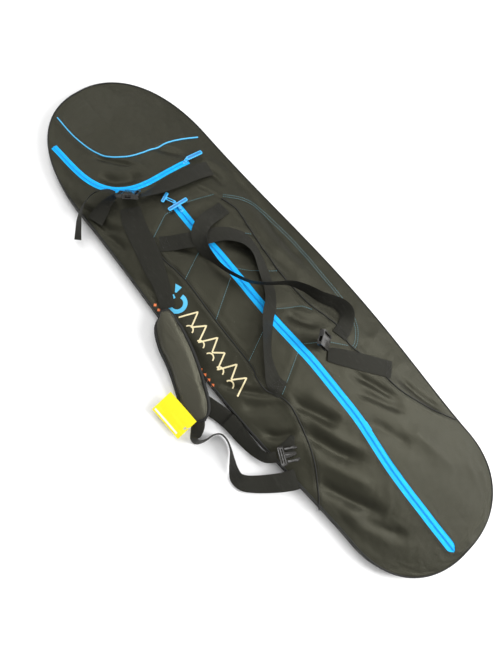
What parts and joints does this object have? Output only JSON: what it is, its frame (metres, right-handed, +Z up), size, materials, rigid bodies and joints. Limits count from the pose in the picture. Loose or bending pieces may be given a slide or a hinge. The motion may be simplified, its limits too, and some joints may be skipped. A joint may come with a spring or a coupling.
{
  "type": "snowboard bag",
  "caption": "Flat padded bag for a snowboard: full-length zip, nose pocket, carrying handles, padded shoulder strap and buckled compression straps.",
  "frame": {"origin": "middle of the underside, on the floor", "axes": "+X from the nose to the tail, +Y to the right-hand side seen from above with the nose on the left, +Z up through the zipped front"},
  "size_m": [1.66, 0.6347, 0.1307],
  "materials": {
    "black_cloth": "plain-weave coated polyester, matt with a faint sheen",
    "foam": "grey closed-cell foam sheet",
    "webbing": "ribbed polyester webbing",
    "pad_cover": "smooth stretch cover over foam, bound edge",
    "azure_zip": "azure woven zip tape and nylon coil, azure moulded pulls",
    "light_blue_cord": "light blue piping",
    "black_cord": "black piping",
    "black_nylon": "moulded black nylon",
    "yellow_card": "yellow card tag",
    "clear_loop": "clear plastic tag loop"
  },
  "bodies": {
    "root": {"base_panel": "black_cloth", "base_foam": "foam", "side_band_left": "black_cloth", "side_band_right": "black_cloth", "side_band_nose": "black_cloth", "side_band_tail": "black_cloth", "piping_bottom": "black_cord", "piping_top": "black_cord", "nose_panel": "black_cloth", "pocket_panel": "black_cloth", "pocket_piping": "light_blue_cord", "pocket_zip_tape": "azure_zip", "pocket_zip_coil": "azure_zip", "collar_panel": "black_cloth", "rim_left": "black_cloth", "rim_right": "black_cloth", "tail_panel_left": "black_cloth", "tail_panel_right": "black_cloth", "main_zip_nose": "azure_zip", "main_zip_tail_left": "azure_zip", "main_zip_tail_right": "azure_zip", "rear_slider": "azure_zip", "nose_strap_right": "webbing", "nose_socket": "black_nylon", "nose_strap_anchor": "webbing", "tail_anchor_tab": "webbing", "tail_plug": "black_nylon", "tail_strap_left": "webbing"},
    "flap_left": {"centre_panel_left": "black_cloth", "outer_panel_left": "black_cloth", "seam_piping_left": "black_cord", "main_zip_left": "azure_zip"},
    "flap_right": {"centre_panel_right": "black_cloth", "outer_panel_right": "black_cloth", "seam_piping_right": "black_cord", "main_zip_right": "azure_zip"},
    "front_slider": {"front_slider": "azure_zip"},
    "front_pull": {"front_pull": "azure_zip"},
    "rear_pull": {"rear_pull": "azure_zip"},
    "pocket_slider": {"pocket_slider": "azure_zip"},
    "pocket_pull": {"pocket_pull": "azure_zip"},
    "nose_plug": {"nose_plug": "black_nylon", "nose_strap_tail": "webbing"},
    "nose_prong_near": {"nose_prong_near": "black_nylon"},
    "nose_prong_far": {"nose_prong_far": "black_nylon"},
    "tail_prong_near": {"tail_prong_near": "black_nylon"},
    "tail_prong_far": {"tail_prong_far": "black_nylon"},
    "handle_right": {"handle_right": "webbing"},
    "handle_left": {"handle_left": "webbing"},
    "tail_strap": {"tail_strap_right": "webbing", "tail_socket": "black_nylon"},
    "shoulder_strap": {"shoulder_web_upper": "webbing", "shoulder_pad": "pad_cover", "shoulder_web_lower": "webbing"},
    "swing_tag": {"swing_tag": "yellow_card", "tag_loop": "clear_loop"}
  },
  "joints": [
    {"name": "front_slider_travel", "type": "hinge", "parent": "root", "child": "front_slider", "pos_m": [0.04074, -4.32363, -4.74451], "axis": [0.0088, 0.7438, -0.6684], "range_deg": [0, 9.89]},
    {"name": "flap_left_open", "type": "hinge", "parent": "root", "child": "flap_left", "pos_m": [0, -0.2, 0.044], "axis": [1, 0, 0], "range_deg": [0, 55]},
    {"name": "flap_right_open", "type": "hinge", "parent": "root", "child": "flap_right", "pos_m": [0, 0.2, 0.044], "axis": [-1, 0, 0], "range_deg": [0, 55]},
    {"name": "front_pull_flip", "type": "hinge", "parent": "front_slider", "child": "front_pull", "pos_m": [-0.33043, -0.00287, 0.06751], "axis": [0.0381, 0.9993, 0], "range_deg": [0, 90]},
    {"name": "rear_pull_flip", "type": "hinge", "parent": "root", "child": "rear_pull", "pos_m": [-0.3554, -0.0037, 0.06526], "axis": [-0.4384, 0.8988, 0], "range_deg": [0, 90]},
    {"name": "pocket_slider_travel", "type": "hinge", "parent": "root", "child": "pocket_slider", "pos_m": [-0.64433, 0.04268, 0.03767], "axis": [-0.0675, 0.0086, 0.9977], "range_deg": [-122.56, 0]},
    {"name": "pocket_pull_flip", "type": "hinge", "parent": "pocket_slider", "child": "pocket_pull", "pos_m": [-0.4449, 0.10179, 0.05966], "axis": [0.9111, 0.4123, 0], "range_deg": [0, 90]},
    {"name": "nose_plug_slide", "type": "slide", "parent": "root", "child": "nose_plug", "axis": [-0.6658, -0.7437, -0.0599], "range_m": [0, 0.04], "deforming": ["nose_strap_tail", "nose_strap_anchor"]},
    {"name": "nose_prong_near_squeeze", "type": "hinge", "parent": "nose_plug", "child": "nose_prong_near", "pos_m": [-0.44011, -0.11256, 0.09171], "axis": [-0.5551, 0.4401, 0.7058], "range_deg": [0, 7], "stiffness_Nm_per_rad": 0.12},
    {"name": "nose_prong_far_squeeze", "type": "hinge", "parent": "nose_plug", "child": "nose_prong_far", "pos_m": [-0.45656, -0.09595, 0.06841], "axis": [0.5551, -0.4401, -0.7058], "range_deg": [0, 7], "stiffness_Nm_per_rad": 0.12},
    {"name": "tail_prong_near_squeeze", "type": "hinge", "parent": "root", "child": "tail_prong_near", "pos_m": [0.36807, -0.21858, 0.06677], "axis": [-0.3944, 0.1234, 0.9106], "range_deg": [0, 7], "stiffness_Nm_per_rad": 0.12},
    {"name": "tail_prong_far_squeeze", "type": "hinge", "parent": "root", "child": "tail_prong_far", "pos_m": [0.34185, -0.20366, 0.05339], "axis": [0.3944, -0.1234, -0.9106], "range_deg": [0, 7], "stiffness_Nm_per_rad": 0.12},
    {"name": "handle_right_lift", "type": "hinge", "parent": "flap_right", "child": "handle_right", "pos_m": [0, 0.1, 0.062], "axis": [-1, 0, 0], "range_deg": [0, 70], "deforming": ["handle_right"]},
    {"name": "handle_left_lift", "type": "hinge", "parent": "flap_left", "child": "handle_left", "pos_m": [0, -0.11, 0.062], "axis": [1, 0, 0], "range_deg": [0, 70], "deforming": ["handle_left"]},
    {"name": "tail_strap_lift", "type": "hinge", "parent": "flap_right", "child": "tail_strap", "pos_m": [0.372, 0.158, 0.05084], "axis": [-0.7507, 0.6606, 0], "range_deg": [0, 80]},
    {"name": "shoulder_strap_swing", "type": "hinge", "parent": "root", "child": "shoulder_strap", "pos_m": [-0.418, -0.11, 0.054], "axis": [-0.9903, 0.1382, 0.0143], "range_deg": [0, 45], "deforming": ["shoulder_web_lower", "shoulder_web_upper"]},
    {"name": "swing_tag_lift", "type": "hinge", "parent": "shoulder_strap", "child": "swing_tag", "pos_m": [0.143, -0.36, 0.028], "axis": [-0.045, 0.999, 0], "range_deg": [0, 85]}
  ],
  "couplings": [
    {"joint": "flap_left_open", "follows": "front_slider_travel", "ratio": 5.5612},
    {"joint": "flap_right_open", "follows": "front_slider_travel", "ratio": 5.5612},
    {"joint": "nose_prong_far_squeeze", "follows": "nose_prong_near_squeeze", "ratio": 1},
    {"joint": "tail_prong_far_squeeze", "follows": "tail_prong_near_squeeze", "ratio": 1},
    {"joint": "handle_left_lift", "follows": "handle_right_lift", "ratio": 1}
  ]
}
